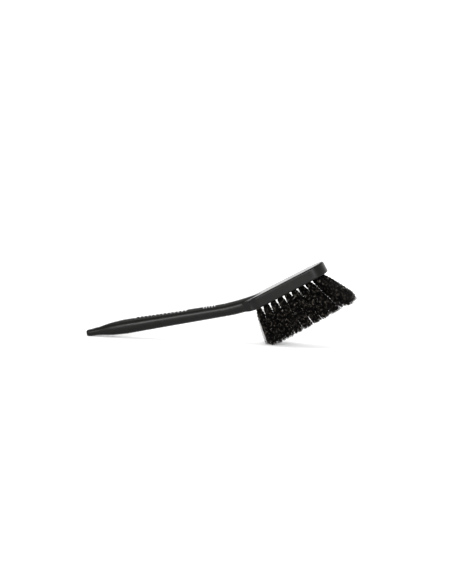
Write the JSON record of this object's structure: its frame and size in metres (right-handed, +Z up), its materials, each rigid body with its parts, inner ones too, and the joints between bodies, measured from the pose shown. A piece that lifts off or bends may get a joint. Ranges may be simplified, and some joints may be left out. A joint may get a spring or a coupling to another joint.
{
  "type": "hand brush",
  "caption": "Long-handled bench brush: moulded handle with a bent neck, a round-ended block and fanned tufts of stiff crimped bristle.",
  "frame": {"origin": "on the surface that the brush lies on, at the middle of its footprint", "axes": "+X from the free end of the handle to the toe of the block, +Z up, with the brush resting on its handle end and on the heel of its bristles"},
  "size_m": [0.3172, 0.046, 0.101],
  "materials": {
    "moulding": "satin",
    "bristle": "matte",
    "anchor_wire": "satin"
  },
  "bodies": {
    "root": {"handle_and_block": "moulding", "anchors": "anchor_wire", "tuft_row1_01": "bristle", "tuft_row1_02": "bristle", "tuft_row1_03": "bristle", "tuft_row1_04": "bristle", "tuft_row1_05": "bristle", "tuft_row1_06": "bristle", "tuft_row1_07": "bristle", "tuft_row1_08": "bristle", "tuft_row2_01": "bristle", "tuft_row2_02": "bristle", "tuft_row2_03": "bristle", "tuft_row2_04": "bristle", "tuft_row2_05": "bristle", "tuft_row2_06": "bristle", "tuft_row2_07": "bristle", "tuft_row2_08": "bristle", "tuft_row2_09": "bristle", "tuft_row2_10": "bristle", "tuft_row3_01": "bristle", "tuft_row3_02": "bristle", "tuft_row3_03": "bristle", "tuft_row3_04": "bristle", "tuft_row3_05": "bristle", "tuft_row3_06": "bristle", "tuft_row3_07": "bristle", "tuft_row3_08": "bristle", "tuft_row3_09": "bristle", "tuft_row3_10": "bristle", "tuft_row4_01": "bristle", "tuft_row4_02": "bristle", "tuft_row4_03": "bristle", "tuft_row4_04": "bristle", "tuft_row4_05": "bristle", "tuft_row4_06": "bristle", "tuft_row4_07": "bristle", "tuft_row4_08": "bristle"}
  },
  "joints": []
}
